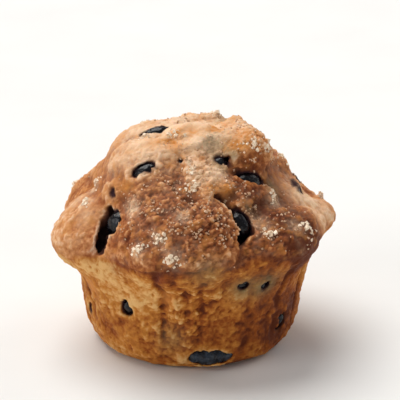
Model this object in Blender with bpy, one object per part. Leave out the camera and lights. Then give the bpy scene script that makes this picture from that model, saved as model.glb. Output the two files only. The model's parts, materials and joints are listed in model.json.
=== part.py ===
"""A large blueberry muffin, out of its liner: the baked crumb, the blueberries that show at its
surface, and the clumps of coarse sugar on its crown.

Metres, +Z up. The origin is the centre of the flat base, and the muffin's front faces -Y.
A place on the crumb is named by a bearing and a rise in degrees, seen from the heart, a point on
the muffin's axis inside the crown. Bearing 0 is the front, 90 the right, 180 the back and -90 the
left. Rise 0 is level with the heart, and rise 90 is the summit.
"""

import math
from collections import namedtuple

import bmesh
import bpy
import numpy as np
from mathutils import Matrix, Vector
from mathutils.bvhtree import BVHTree

MM = 0.001

# Driving dimensions. Lengths are in millimetres up to the last step, which scales each mesh to metres.
HEART_HEIGHT = 38.0
CRUST_SUBDIVISIONS = 5  # of the icosphere that becomes the crumb
RIM_TILT = 0.055  # the rim sits higher on the right: height gained for each mm to the right
TILT_HEIGHT = 40.0  # where the tilt is strongest
TILT_SPAN = 26.0  # how far above and below that height the tilt reaches
WALL_SHIFT = -0.9  # the moulded wall stands this far to the right of the crown's middle
WALL_STRAIGHT_TO = 20.0  # the shift fades out between this height and the tilt's
RIM_RISE = -4.0  # the crust turns under here, and the moulded wall begins below it
UNDERCUT = 13.0  # degrees over which the crown's lobes fade into the wall
LOBE_FALL = 5.0  # how much lower a lobe is at its edge than in its middle
LOBE_FLOOR = -2.6  # no crease between lobes goes deeper than this
LOBE_MELD = 0.55  # how softly a lobe runs into the next
POCKET_GAP = 0.35  # between a berry, or a clump of sugar, and the crumb around it
BERRY_SEGMENTS = 10
BERRY_RINGS = 6
FACET_INSET = 0.8  # how far out an icosahedron's faces are, as a share of its corners

CRUMB_COLOUR, CRUMB_ROUGHNESS = (0.37, 0.17, 0.06), 0.75
BERRY_COLOUR, BERRY_ROUGHNESS = (0.02, 0.02, 0.045), 0.4
SUGAR_COLOUR, SUGAR_ROUGHNESS = (0.85, 0.76, 0.64), 0.3

# Half of the upright section through the muffin, from the edge of the base to the summit: radius, height.
OUTLINE = (
    (30.2, 0.0),
    (34.0, 2.8),
    (35.6, 7.5),
    (37.6, 19.0),
    (39.8, 27.0),
    (44.2, 33.5),
    (46.4, 40.0),
    (44.6, 46.5),
    (37.0, 56.0),
    (27.5, 65.0),
    (15.0, 72.8),
    (0.0, 74.8),
)

# A lobe is batter that rose as one mound: its place, half its width and half its height in degrees, and
# how far its middle stands proud of the outline.
Lobe = namedtuple("Lobe", "bearing rise half_width half_height proud")
LOBES = (
    Lobe(-6, 14, 31, 27, 2.6),
    Lobe(46, 6, 30, 20, 2.2),
    Lobe(60, 56, 22, 16, 3.0),
    Lobe(-55, 50, 30, 24, 2.4),
    Lobe(-72, 4, 26, 20, 2.8),
    Lobe(0, 84, 26, 22, 1.6),
    Lobe(100, 2, 26, 13, 1.8),
    Lobe(148, 14, 30, 26, 2.2),
    Lobe(-164, 6, 28, 22, 2.4),
    Lobe(-110, 12, 28, 28, 1.5),
    Lobe(170, 52, 32, 20, 2.4),
    Lobe(-122, 56, 26, 25, 2.4),
    Lobe(108, 66, 20, 16, 2.6),
    Lobe(102, 34, 26, 24, -0.8),
)

# A berry or a clump of sugar in the crust. Its length lies level at turn 0, and rises to the right at
# turns up to 90 degrees. Its half sizes are along its length, across it and into the crust, and proud is
# how far it stands out of the crust.
Inclusion = namedtuple("Inclusion", "name bearing rise turn half_sizes proud")
BERRIES = (
    Inclusion("summit_left", -88, 68, 90, (5.4, 2.8, 3.2), 0.9),
    Inclusion("crown_front_left", -40, 46, 48, (5.4, 3.0, 3.4), 0.9),
    Inclusion("crown_left_small", -54, 31, -55, (2.8, 2.1, 2.4), 0.7),
    Inclusion("rim_front_left", -46, 17, 65, (5.2, 4.4, 4.4), 1.0),
    Inclusion("crown_front_small", -15, 58, 30, (2.1, 1.6, 1.8), 0.6),
    Inclusion("crack_summit", 27, 57, -40, (2.9, 2.1, 2.4), 0.5),
    Inclusion("crack_right", 45, 43, -22, (5.2, 3.4, 3.6), 0.7),
    Inclusion("crack_front", 25, 20, -70, (5.4, 3.2, 3.6), 0.6),
    Inclusion("wall_front_left", -36, -24, 80, (3.4, 2.6, 2.8), 0.6),
    Inclusion("wall_front_right", 23, -8, 15, (2.7, 2.3, 2.6), 0.5),
    Inclusion("wall_right_high", 35, -11, 30, (3.4, 3.0, 3.0), 0.5),
    Inclusion("wall_right_low", 55, -37, 78, (3.8, 2.0, 2.6), 0.5),
    Inclusion("base_front", 9, -45, 0, (9.0, 3.0, 4.0), 0.9),
    Inclusion("crown_right", 80, 24, 28, (5.2, 3.4, 3.6), 0.9),
    Inclusion("crown_right_small", 84, 58, -35, (2.6, 2.0, 2.4), 0.7),
    Inclusion("wall_right", 97, -19, 60, (3.5, 2.9, 3.0), 0.6),
    Inclusion("rim_back_right", 124, 9, -68, (5.0, 4.2, 4.2), 1.0),
    Inclusion("crown_back_right", 150, 43, 16, (5.3, 3.0, 3.4), 0.9),
    Inclusion("wall_back_low", 157, -33, 84, (3.2, 2.1, 2.6), 0.5),
    Inclusion("rim_back", 176, 17, 40, (4.9, 4.1, 4.2), 1.0),
    Inclusion("summit_back", 172, 71, -12, (3.6, 2.3, 2.8), 0.8),
    Inclusion("wall_back", -164, -15, 25, (3.3, 2.7, 2.8), 0.6),
    Inclusion("crown_back_left", -146, 31, -30, (5.2, 3.1, 3.4), 0.9),
    Inclusion("rim_left", -122, 6, 72, (4.9, 4.0, 4.2), 1.0),
    Inclusion("crown_left", -110, 38, 36, (5.0, 2.9, 3.4), 0.9),
    Inclusion("wall_left", -99, -21, -50, (3.6, 3.0, 3.0), 0.6),
    Inclusion("wall_left_low", -72, -35, 76, (2.9, 2.0, 2.4), 0.5),
)
SUGAR = (
    Inclusion("front_bright", -3, 52, 60, (1.4, 1.2, 1.1), 1.3),
    Inclusion("front_large", -1, 42, 70, (2.3, 1.7, 1.5), 1.8),
    Inclusion("summit_left", -68, 63, 10, (1.8, 1.4, 1.2), 1.4),
    Inclusion("summit_front", -41, 72, -20, (2.1, 1.2, 1.1), 1.3),
    Inclusion("crown_right", 50, 30, 35, (1.9, 1.5, 1.3), 1.6),
    Inclusion("rim_front_right", 33, 15, 0, (1.7, 1.3, 1.2), 1.4),
    Inclusion("front_left", -15, 16, 40, (1.9, 1.5, 1.3), 1.6),
    Inclusion("rim_front_left", -23, 10, 80, (1.7, 1.3, 1.2), 1.4),
    Inclusion("rim_front", -9, 8, -30, (1.8, 1.4, 1.2), 1.4),
    Inclusion("rim_right", 52, 13, 25, (1.6, 1.3, 1.2), 1.4),
    Inclusion("crown_left", -70, 21, 0, (1.6, 1.3, 1.1), 1.3),
    Inclusion("crown_left_high", -80, 29, 45, (1.5, 1.2, 1.1), 1.3),
    Inclusion("knob_front", 52, 56, -15, (1.7, 1.4, 1.2), 1.4),
    Inclusion("knob_right", 63, 52, 55, (1.5, 1.3, 1.2), 1.4),
    Inclusion("right", 96, 40, 20, (1.8, 1.4, 1.2), 1.5),
    Inclusion("right_rim", 104, 12, 60, (1.7, 1.4, 1.2), 1.4),
    Inclusion("back_right", 138, 28, -40, (1.9, 1.4, 1.3), 1.5),
    Inclusion("back_high", 160, 58, 10, (1.7, 1.3, 1.2), 1.4),
    Inclusion("back", -170, 36, 75, (2.0, 1.5, 1.3), 1.6),
    Inclusion("back_left", -138, 50, 30, (1.7, 1.4, 1.2), 1.4),
    Inclusion("left_rim", -108, 14, -25, (1.6, 1.3, 1.2), 1.4),
    Inclusion("left", -128, 22, 50, (1.8, 1.4, 1.2), 1.5),
)


def direction(bearing, rise):
    """The unit vector from the heart towards a place on the crumb."""
    turn, lift = math.radians(bearing), math.radians(rise)
    return Vector((math.sin(turn) * math.cos(lift), -math.cos(turn) * math.cos(lift), math.sin(lift)))


def smooth_step(value, start, end):
    share = min(max((value - start) / (end - start), 0.0), 1.0)
    return share * share * (3.0 - 2.0 * share)


def smooth_curve(points, steps=8):
    """A Catmull-Rom curve through the points, with this many steps between each two."""
    ends = [points[0], *points, points[-1]]
    curve = []
    for before, start, end, after in zip(ends, ends[1:], ends[2:], ends[3:]):
        for step in range(steps):
            t = step / steps
            curve.append(
                start
                + 0.5 * t * (end - before)
                + t * t * (before - 2.5 * start + 2.0 * end - 0.5 * after)
                + 0.5 * t**3 * (3.0 * (start - end) + after - before)
            )
    return curve + [points[-1]]


def outline_reach():
    """The outline seen from the heart: rises in degrees, and how far away the outline is at each."""
    curve = smooth_curve([Vector(point) for point in OUTLINE])
    from_heart = [point - Vector((0.0, HEART_HEIGHT)) for point in curve]
    rises = [math.degrees(math.atan2(point.y, point.x)) for point in from_heart]
    return rises, [point.length for point in from_heart]


def lobe_height(way):
    """How far the lobes of the crown stand proud of the outline in this direction."""
    heights = [LOBE_FLOOR]
    for lobe in LOBES:
        middle = direction(lobe.bearing, lobe.rise)
        if way.dot(middle) <= 0.0:
            continue
        across = way.dot(direction(lobe.bearing + 90.0, 0.0)) / math.sin(math.radians(lobe.half_width))
        upward = way.dot(direction(lobe.bearing, lobe.rise + 90.0)) / math.sin(math.radians(lobe.half_height))
        heights.append(lobe.proud - LOBE_FALL * (across * across + upward * upward))
    highest = max(heights)
    return highest + LOBE_MELD * math.log(sum(math.exp((h - highest) / LOBE_MELD) for h in heights))


def crust_point(way, rises, reaches):
    """Where a ray from the heart meets the crumb's outside."""
    rise = math.degrees(math.asin(way.z))
    reach = float(np.interp(rise, rises, reaches))
    reach += lobe_height(way) * smooth_step(rise, RIM_RISE - UNDERCUT, RIM_RISE)
    point = Vector((0.0, 0.0, HEART_HEIGHT)) + reach * way
    from_rim = abs(point.z - TILT_HEIGHT) / TILT_SPAN
    tilt = RIM_TILT * point.x * (1.0 - smooth_step(from_rim, 0.0, 1.0))
    shift = WALL_SHIFT * (1.0 - smooth_step(point.z, WALL_STRAIGHT_TO, TILT_HEIGHT))
    return point + Vector((shift, 0.0, tilt))


def crumb_mesh():
    """The crumb: an even ball of small faces, each corner moved out onto the crust or the flat base."""
    rises, reaches = outline_reach()
    shape = bmesh.new()
    bmesh.ops.create_icosphere(shape, subdivisions=CRUST_SUBDIVISIONS, radius=1.0)
    for vertex in shape.verts:
        way = vertex.co.normalized()
        if math.degrees(math.asin(way.z)) < rises[0]:
            vertex.co = Vector((0.0, 0.0, HEART_HEIGHT)) - way * HEART_HEIGHT / way.z
            vertex.co.z = 0.0
        else:
            vertex.co = crust_point(way, rises, reaches)
    return shape


def ball(half_sizes, grown=0.0):
    """A berry's body: a ball stretched to its half sizes."""
    shape = bmesh.new()
    bmesh.ops.create_uvsphere(shape, u_segments=BERRY_SEGMENTS, v_segments=BERRY_RINGS, radius=1.0)
    bmesh.ops.scale(shape, vec=[size + grown for size in half_sizes], verts=shape.verts)
    return shape


def lump(half_sizes, grown=0.0):
    """A clump of sugar: a faceted lump stretched to its half sizes."""
    shape = bmesh.new()
    bmesh.ops.create_icosphere(shape, subdivisions=1, radius=1.0)
    bmesh.ops.scale(shape, vec=[size + grown / FACET_INSET for size in half_sizes], verts=shape.verts)
    return shape


def seat(crust, inclusion):
    """Where an inclusion lies: x along its length, y across it and z straight out of the crust."""
    heart = Vector((0.0, 0.0, HEART_HEIGHT))
    point, out, _, _ = crust.ray_cast(heart, direction(inclusion.bearing, inclusion.rise))
    level = Vector((0.0, 0.0, 1.0)).cross(out).normalized()
    along = Matrix.Rotation(math.radians(inclusion.turn), 3, out) @ level
    axes = Matrix((along, out.cross(along), out)).transposed().to_4x4()
    middle = point - out * (inclusion.half_sizes[2] - inclusion.proud)
    return Matrix.Translation(middle * MM) @ axes


def add_object(name, shape, collection, smooth=True):
    """Turns a shape in millimetres into an object in metres."""
    bmesh.ops.scale(shape, vec=(MM, MM, MM), verts=shape.verts)
    mesh = bpy.data.meshes.new(name)
    shape.to_mesh(mesh)
    shape.free()
    if smooth:
        mesh.shade_smooth()
    piece = bpy.data.objects.new(name, mesh)
    collection.objects.link(piece)
    return piece


def add_material(piece, colour, roughness):
    material = bpy.data.materials.new(piece.name)
    material.use_nodes = True
    shader = material.node_tree.nodes["Principled BSDF"]
    shader.inputs["Base Color"].default_value = (*colour, 1.0)
    shader.inputs["Roughness"].default_value = roughness
    shader.inputs["Metallic"].default_value = 0.0
    piece.data.materials.append(material)


def add_inclusions(kind, inclusions, body_of, colour, roughness, crust, collections):
    """Each inclusion becomes an object, and its grown copy cuts the pocket that it lies in."""
    parts, cutters = collections
    for inclusion in inclusions:
        name = f"{kind}_{inclusion.name}"
        place = seat(crust, inclusion)
        piece = add_object(name, body_of(inclusion.half_sizes), parts, smooth=body_of is ball)
        piece.matrix_world = place
        add_material(piece, colour, roughness)
        pocket = add_object(f"pocket_{name}", body_of(inclusion.half_sizes, POCKET_GAP), cutters)
        pocket.matrix_world = place
        pocket.hide_render = True
        pocket.display_type = "WIRE"


def add_collection(name, hidden=False):
    collection = bpy.data.collections.new(name)
    bpy.context.scene.collection.children.link(collection)
    collection.hide_render = hidden
    return collection


def main():
    for leftover in list(bpy.data.objects):
        bpy.data.objects.remove(leftover, do_unlink=True)
    parts = add_collection("muffin")
    cutters = add_collection("pockets", hidden=True)

    shape = crumb_mesh()
    crust = BVHTree.FromBMesh(shape)
    crumb = add_object("muffin_body", shape, parts)
    add_material(crumb, CRUMB_COLOUR, CRUMB_ROUGHNESS)

    collections = (parts, cutters)
    add_inclusions("blueberry", BERRIES, ball, BERRY_COLOUR, BERRY_ROUGHNESS, crust, collections)
    add_inclusions("sugar_clump", SUGAR, lump, SUGAR_COLOUR, SUGAR_ROUGHNESS, crust, collections)

    pockets = crumb.modifiers.new("pockets", "BOOLEAN")
    pockets.operation = "DIFFERENCE"
    pockets.operand_type = "COLLECTION"
    pockets.collection = cutters


if __name__ == "__main__":
    main()
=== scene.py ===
"""The looks of a large blueberry muffin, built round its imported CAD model.

Metres, +Z up, the muffin's front faces -Y. As in the CAD, a place on the crumb is named by a bearing
and a rise in degrees, seen from the heart, a point on the muffin's axis inside the crown: bearing 0
is the front and 90 the right, rise 0 is level with the heart and 90 is the summit.
"""

import json
import math
from collections import namedtuple

import bmesh
import bpy
import numpy as np
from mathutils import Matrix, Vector, noise
from mathutils.bvhtree import BVHTree

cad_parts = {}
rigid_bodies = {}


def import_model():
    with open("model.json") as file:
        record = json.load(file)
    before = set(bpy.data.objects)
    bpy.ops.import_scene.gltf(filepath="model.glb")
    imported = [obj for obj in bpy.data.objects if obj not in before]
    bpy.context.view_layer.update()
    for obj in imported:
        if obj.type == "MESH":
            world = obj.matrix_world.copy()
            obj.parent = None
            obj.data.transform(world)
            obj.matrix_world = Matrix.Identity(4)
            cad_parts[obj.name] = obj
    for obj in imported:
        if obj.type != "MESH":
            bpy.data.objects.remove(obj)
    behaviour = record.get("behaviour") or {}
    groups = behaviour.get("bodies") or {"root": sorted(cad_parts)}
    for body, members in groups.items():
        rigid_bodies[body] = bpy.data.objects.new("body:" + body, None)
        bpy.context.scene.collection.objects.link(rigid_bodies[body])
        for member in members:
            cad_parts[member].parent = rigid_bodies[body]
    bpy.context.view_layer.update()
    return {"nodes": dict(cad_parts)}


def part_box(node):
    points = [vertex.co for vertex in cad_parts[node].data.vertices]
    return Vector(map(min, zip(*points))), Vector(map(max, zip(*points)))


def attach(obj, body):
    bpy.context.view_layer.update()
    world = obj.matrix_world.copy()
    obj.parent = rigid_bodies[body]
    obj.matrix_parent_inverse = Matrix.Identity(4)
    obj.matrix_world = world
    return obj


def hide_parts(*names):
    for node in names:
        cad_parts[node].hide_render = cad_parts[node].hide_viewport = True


MM = 0.001
SEED = 11  # of Blender's vector noise and of the sugar's places
HEART = Vector((0.0, 0.0, 38.0 * MM))
LOW_HEART = 12 * MM  # what lies lower than this faces away from the axis at this height
OUTSIDE = 0.2  # metres from the heart, well clear of the crumb
SAME_CORNER = 0.001 * MM  # corners nearer than this are one

ROUGH_VOXEL = 0.9 * MM  # of the whole crumb, before it is torn open
VOXEL = 0.66 * MM  # of the finished crumb: near the finest that still exports whole
ROUGH_SMOOTHING, FINE_SMOOTHING = 3, 2  # rounds that take the steps out of each voxel mesh
GRANULE_ROUNDS, MOUND_ROUNDS = 14, 60  # rounds that flatten the granules, and then the mounds
BROAD_RAISED = 0.6  # how much a mound counts as raised, beside the granules on it

CREASE_DEPTH = 1.4  # mm that the crumb between the crown's lobes lies below the CAD's skin
LOBE_THICKNESS, LOBE_SQUARENESS = 6.0, 3.0  # mm, and the power of a lobe's section: 2 is an ellipse
LUMP_LENGTH, LUMP_THICKNESS = 1.25, 1.5  # half its length and all its thickness, in half widths
LUMP_TURN = 40.0  # degrees from one lump's turn to the next one's
CRUST_OVER_BERRY, CRUST_OVER_SUGAR = 1.0, 0.3  # mm of crumb that closes over a pocket
BERRY_SUNK_CROWN, BERRY_SUNK_WALL = 1.9, 1.5  # mm that a berry lies deeper than in the CAD
MOUTH_TALLER, MOUTH_OUT = 1.3, 2.4 * MM  # a mouth's height in berries, and how far it is moved out
MOUTH_ROUNDNESS, BERRY_ROUNDNESS = 2, 3  # levels of subdivision

TEAR_TOP, TEAR_DEEP = 0.7, -0.9  # where a tear's two tubes have their tops, in radii above the crust
TEAR_SIDES, TEAR_STEPS = 5, 14  # how finely a tear's tube is divided, round it and along it
TORN_FROM, TORN_TO = 0.3, 1.1  # mm from a tear, between which the crumb is torn down to not at all
TORN_BELOW, TORN_WHOLLY_BELOW = 0.3, 1.0  # mm below the crust, between which a tear starts to show
TORN_SHADE_DARKEST_AT = 4.0  # mm below the crust, where the painted shade inside a crack is darkest
STAIN_FROM, STAIN_TO = 0.3, 1.3  # mm from a berry, between which its juice fades out of the crumb

# How rough a helper's skin is: the size of its patches, and how many mm they stand out or in.
PAD_WAVES, PAD_GRAIN = (8.0 * MM, 0.9), (2.8 * MM, 0.35)
TEAR_WAVES, TEAR_GRAIN = (2.6 * MM, 0.9), (1.2 * MM, 0.55)
MOUTH_WAVES, MOUTH_GRAIN = (2.6 * MM, 1.3), (1.2 * MM, 0.45)

# Layers of relief on the crumb. Noise has the size of its patches and how far they stand out or in, in mm.
Noise = namedtuple("Noise", "size amount octaves offset")
# Lumps have their size and height in mm, and the share of the height that is buried.
Lumps = namedtuple("Lumps", "size height buried offset")
NOISE_FALL, NOISE_STEP = 0.9, 2.0  # how much fainter and how much finer each octave is
LUMP_WARP, WARP_FINENESS, LUMP_STEEPNESS = 0.35, 1.3, 1.5  # a lump's uneven outline, and its flanks
EDGE_WAVES, EDGE_RAGS = Noise(10, 2.2, 1, 3.0), Noise(3, 1.3, 1, 8.0)
CRUST_LUMPS, CRUST_KNOTS = Lumps(7.5, 0.7, 0.7, 1.0), Lumps(3.6, 1.0, 0.65, 5.0)
CRUST_GRANULES, CRUST_GRAIN = Lumps(2.2, 1.3, 0.65, 7.0), Noise(1.6, 0.3, 2, 9.0)
WALL_WAVES, WALL_LUMPS = Noise(9, 0.7, 2, 4.0), Lumps(4.6, 1.3, 0.7, 14.0)
WALL_CELLS, WALL_GRAIN = Lumps(2.4, 0.8, 0.65, 27.0), Noise(1.8, 0.25, 2, 17.0)
LEAST_MOUNDS, MOUNDS_HIGHER = 0.5, 1.3  # shares of the wall's lumps: everywhere, and more where mounded
LEAST_CELLS = 0.3  # the share of the wall's cells that is everywhere
WALL_PORES = Noise(2.0, 1.0, 2, 6.0)
PORE_DEPTH, PORE_FROM, PORE_TO = 0.5, 0.3, 0.8  # mm, and the noise between which a pore opens
TORN_GRAIN = Noise(1.5, 0.5, 2, 23.0)

# The crust's lower edge: its height in mm, and how much it rises to the right and falls to the back.
EDGE_HEIGHT, EDGE_RISE, EDGE_FALL = 38.0, 0.05, 0.06
EDGE_BLEND = (-1.0, 1.6)  # mm above the edge, between which the wall turns into crust
LEDGE_DEPTH = 0.7  # mm that the crust's edge stands out over the wall
LEDGE_START, LEDGE_END = (-0.5, 1.0), (2.0, 9.0)  # mm above the edge, where the ledge begins and ends
BASE_FLAT, BASE_WHOLE = 0.3 * MM, 2.5 * MM  # heights between which the crumb's relief sets in

# How brown the crumb is, and the shade painted on it, as shares of the way from pale to dark.
BRIM_SHADE, BRIM_AT, BRIM_WIDTH = 0.22, 0.8, 1.6  # painted shade along the crust's lower edge, where it stands out over the wall, and where and how wide in mm
FOOT_BAKE_AND_SHADE, FOOT_BAKE_AND_SHADE_TO = 0.10, 30 * MM  # darker towards the wall's foot, partly baked browner and partly painted shade, fading out at this height
WALL_BLOTCHES, CRUST_BLOTCHES = 0.22, 0.10
BLOTCHES, MOTTLES = Noise(9, 1.0, 3, 12.0), Noise(4.0, 1.0, 3, 41.0)
MOTTLING, MOTTLE_FROM, MOTTLE_TO = 0.5, 0.1, 0.7  # how amber, and the noise between which a patch sets in
LEAST_GRAIN = 0.2  # how granular the crust is where nothing makes it so
MELT_ON_TOP, MELT_FROM, MELT_TO = 0.2, 50 * MM, 74 * MM  # how glazed the summit is, and its heights
MELT_IN_PATCHES, MELT_PATCHES = 0.2, Noise(3.6, 1.0, 3, 20.0)

# The camera looks at the muffin as the photograph does: from the front, a little above.
CAMERA_ELEVATION = 20.0
CAMERA_DISTANCE = 650.0 * MM
VIEW_WIDTH = 135.2 * MM  # of the slice of the world through the heart that fills the picture's width
AIM_RIGHT, AIM_UP = 1.7 * MM, 9.3 * MM  # from the heart to the middle of the picture

# A lobe of the crown: batter that rose as one pad. Its length lies level at turn 0, and rises to the
# right at turns up to 90 degrees. Its half length, its half width and how far it stands out of the CAD's
# skin are in mm.
Lobe = namedtuple("Lobe", "bearing rise turn half_length half_width proud")
LOBES = (
    Lobe(-24, 23, 95, 17.0, 13.0, 0.6),
    Lobe(8, 18, 60, 13.0, 12.0, 1.2),
    Lobe(45, 14, 10, 12.5, 10.5, 0.5),
    Lobe(80, 7, 70, 11.5, 13.0, 0.2),
    Lobe(59, 60, -25, 12.0, 10.5, 2.0),
    Lobe(-64, 54, 30, 15.0, 11.0, 0.3),
    Lobe(-73, 10, 60, 16.5, 14.5, 0.2),
    Lobe(-8, 84, 0, 12.0, 9.0, 0.2),
    Lobe(112, 7, 80, 10.0, 12.0, -0.4),
    Lobe(145, 16, 75, 14.0, 13.0, 0.6),
    Lobe(178, 14, 95, 13.5, 13.0, 0.4),
    Lobe(-149, 13, 80, 14.0, 12.5, 0.5),
    Lobe(-113, 12, 100, 12.5, 12.0, -0.3),
    Lobe(102, 46, 20, 11.0, 8.5, 0.5),
    Lobe(138, 50, -15, 11.0, 9.0, 0.4),
    Lobe(174, 50, 10, 12.0, 9.5, 0.8),
    Lobe(-148, 51, -20, 11.5, 9.0, 0.4),
    Lobe(-106, 52, 25, 10.0, 8.5, 0.0),
    Lobe(-96, 35, 10, 9.0, 6.5, 0.5),
)
# The small lumps on the crumb: a bearing, a rise, a half width in mm and how far it stands proud.
LUMPS = (
    (-2, 56, 2.8, 1.6), (3, 48, 2.8, 2.1), (10, 42, 2.9, 2.5), (16, 48, 2.8, 2.3), (9, 54, 2.5, 1.7),
    (21, 41, 2.6, 2.1), (-3, 51, 2.2, 1.8), (-1, 43, 2.2, 2.2), (6, 37, 2.4, 1.5), (31, 41, 3.4, 1.2),
    (38, 36, 3.8, 1.2), (30, 32, 3.0, 0.8), (48, 33, 3.4, 1.0), (-14, 64, 3.6, 1.3),
    (-28, 61, 3.4, 1.1), (2, 66, 3.4, 1.3), (-44, 64, 3.6, 1.0), (-38, 75, 3.2, 1.1),
    (-58, 30, 4.0, 0.4), (16, 60, 3.0, 0.8), (24, 70, 3.2, 0.8), (52, 57, 3.0, 2.6), (66, 54, 3.0, 2.5),
    (70, 64, 2.8, 2.6), (48, 68, 2.8, 2.6), (-12, 14, 3.8, 1.0), (-22, 9, 3.6, 0.9), (0, 9, 4.0, 1.2),
    (60, 16, 3.6, 1.0), (120, 36, 4.2, 0.8), (128, 62, 3.8, 0.8), (156, 34, 4.0, 0.7),
    (-172, 34, 4.2, 0.9), (-160, 66, 3.8, 0.8), (-130, 34, 4.2, 0.4), (-84, 34, 4.0, 0.2),
    (-8, -19, 3.4, 1.1), (9, -13, 3.2, 1.2), (-2, -8, 3.0, 0.9), (3, -23, 3.0, 0.9),
    (-4, -31, 3.2, 0.7), (16, -21, 3.0, 0.7), (120, -18, 3.4, 0.9), (129, -25, 3.0, 0.7),
    (-140, -20, 3.4, 0.9), (-131, -14, 3.0, 0.7), (176, -23, 3.2, 0.8), (-96, -31, 3.0, 0.6),
    (95, -29, 3.0, 0.6),
)

# A crack torn into the crown: how far its depth leans away from its mouth, in degrees of bearing and of
# rise, and stations along it, each a bearing, a rise and the tear's radius in mm.
Crack = namedtuple("Crack", "name lean stations")
CRACKS = (
    Crack("front", (-3, 0), (
        (8, 36, 0.6), (14, 36, 1.1), (19, 33, 1.5), (23, 27, 2.1), (25, 21, 2.4), (21, 14, 1.8),
        (17, 9, 0.9),
    )),
    Crack("under_knob", (2, 5), (
        (24, 61, 0.8), (27, 57, 1.7), (31, 51, 1.2), (37, 46, 1.9), (45, 42, 2.6), (53, 37, 1.7),
        (58, 33, 0.9),
    )),
    Crack("left_rim", (-1, 0), (
        (-54, 24, 1.1), (-51, 19, 3.0), (-49, 13, 2.3), (-47, 8, 2.5), (-45, 3, 1.2),
    )),
    Crack("crown_left", (-2, 3), (
        (-47, 40, 0.6), (-42, 44, 1.3), (-38, 48, 1.3), (-34, 52, 0.6),
    )),
    Crack("front_lobe", (0, 3), (
        (-19, 20, 0.5), (-14, 21, 0.8), (-10, 23, 0.6),
    )),
    Crack("ridge_foot", (0, 3), (
        (-9, 33, 0.5), (-4, 34, 1.0), (1, 34, 0.6),
    )),
    Crack("summit_left", (0, 3), (
        (-92, 60, 0.8), (-87, 66, 2.0), (-78, 74, 1.0),
    )),
    Crack("right", (3, 0), (
        (120, 46, 0.7), (128, 38, 1.5), (126, 29, 1.1), (130, 19, 1.9), (129, 10, 0.8),
    )),
    Crack("back_right", (-3, 0), (
        (158, 54, 0.8), (151, 45, 1.9), (160, 34, 1.2), (162, 26, 1.7), (164, 20, 0.8),
    )),
    Crack("back", (0, 4), (
        (-176, 26, 0.7), (-170, 21, 1.6), (-166, 12, 2.1), (-167, 5, 1.0),
    )),
    Crack("left", (0, 4), (
        (-120, 46, 0.7), (-127, 38, 1.7), (-125, 30, 1.3), (-132, 21, 2.0), (-130, 12, 0.9),
    )),
)

# This table and those of spots below it hold round patches: a bearing, a rise, a radius in degrees and an
# amount of some effect.
# Where the whole crumb swelled or sank, in mm.
SWELLS = (
    (105, 17, 11, -3.0), (-97, 45, 8, 2.0), (100, 62, 8, 1.6), (-88, -12, 9, -2.0), (60, 60, 8, 0.8),
    (28, 62, 5, -1.0),
)


def direction(bearing, rise):
    """The unit vector from the heart towards a place on the crumb."""
    turn, lift = math.radians(bearing), math.radians(rise)
    return Vector((math.sin(turn) * math.cos(lift), -math.cos(turn) * math.cos(lift), math.sin(lift)))


def limited(values):
    """The values, held between 0 and 1."""
    return np.clip(values, 0.0, 1.0)


def smooth_step(values, start, end):
    """0 up to the start, 1 from the end on, and a smooth rise between them."""
    share = limited((values - start) / (end - start))
    return share * share * (3.0 - 2.0 * share)


def noise_at(points, size, octaves=2, offset=0.0):
    """Noise between about -1 and 1 at each point, in patches of about this size."""
    start = Vector((offset, 0.5 * offset, -offset))
    places = (Vector(point) / size + start for point in points)
    return np.array([noise.fractal(place, NOISE_FALL, NOISE_STEP, octaves) for place in places])


def lumps_at(points, size, offset=0.0):
    """Rounded lumps of about this size: 0 in the creases between them, up to 1 on a lump."""
    start = Vector((offset, -offset, 0.5 * offset))
    values = np.empty(len(points))
    for i, point in enumerate(points):
        place = Vector(point) / size + start
        place += LUMP_WARP * noise.noise_vector(place * WARP_FINENESS)
        nearest, second = noise.voronoi(place)[0][:2]
        values[i] = second - nearest
    return np.sqrt(limited(values * LUMP_STEEPNESS))


# Mesh helpers


def link(piece):
    bpy.context.scene.collection.objects.link(piece)
    return piece


def object_from(shape, name):
    """A new object with the shape as its mesh. The shape is freed."""
    mesh = bpy.data.meshes.new(name)
    shape.to_mesh(mesh)
    shape.free()
    return link(bpy.data.objects.new(name, mesh))


def joined_shape(mesh):
    """The mesh as a shape in which corners at one place are one corner."""
    shape = bmesh.new()
    shape.from_mesh(mesh)
    bmesh.ops.remove_doubles(shape, verts=shape.verts, dist=SAME_CORNER)
    return shape


def node_copy(node, name):
    """A new object with a CAD node's mesh."""
    return object_from(joined_shape(frame["nodes"][node].data), name)


def final_mesh(piece):
    """A new mesh of what the object's modifiers or its curve give."""
    graph = bpy.context.evaluated_depsgraph_get()
    return bpy.data.meshes.new_from_object(piece.evaluated_get(graph))


def apply_modifiers(piece):
    """Makes the object's mesh what its modifiers give."""
    mesh = final_mesh(piece)
    piece.modifiers.clear()
    old, piece.data = piece.data, mesh
    bpy.data.meshes.remove(old)
    mesh.name = piece.name


def corners_of(mesh):
    values = np.empty(len(mesh.vertices) * 3, np.float32)
    mesh.vertices.foreach_get("co", values)
    return values.reshape(-1, 3).astype(float)


def normals_of(mesh):
    values = np.empty(len(mesh.vertices) * 3, np.float32)
    mesh.vertex_normals.foreach_get("vector", values)
    return values.reshape(-1, 3).astype(float)


def move_corners(mesh, points):
    mesh.vertices.foreach_set("co", points.astype(np.float32).ravel())
    mesh.update()


def smoothed(mesh, values, rounds):
    """Values at the mesh's corners, each round mixed half with their neighbours' mean."""
    ends = np.empty(len(mesh.edges) * 2, np.int32)
    mesh.edges.foreach_get("vertices", ends)
    starts, stops = ends.reshape(-1, 2).T
    counts = np.bincount(ends, minlength=len(mesh.vertices)).astype(float)
    flat = values.reshape(len(mesh.vertices), -1)
    for _ in range(rounds):
        total = np.empty_like(flat)
        for column in range(flat.shape[1]):
            total[:, column] = np.bincount(starts, flat[stops, column], len(counts))
            total[:, column] += np.bincount(stops, flat[starts, column], len(counts))
        flat = 0.5 * flat + 0.5 * total / counts[:, None]
    return flat.reshape(values.shape)


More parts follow.
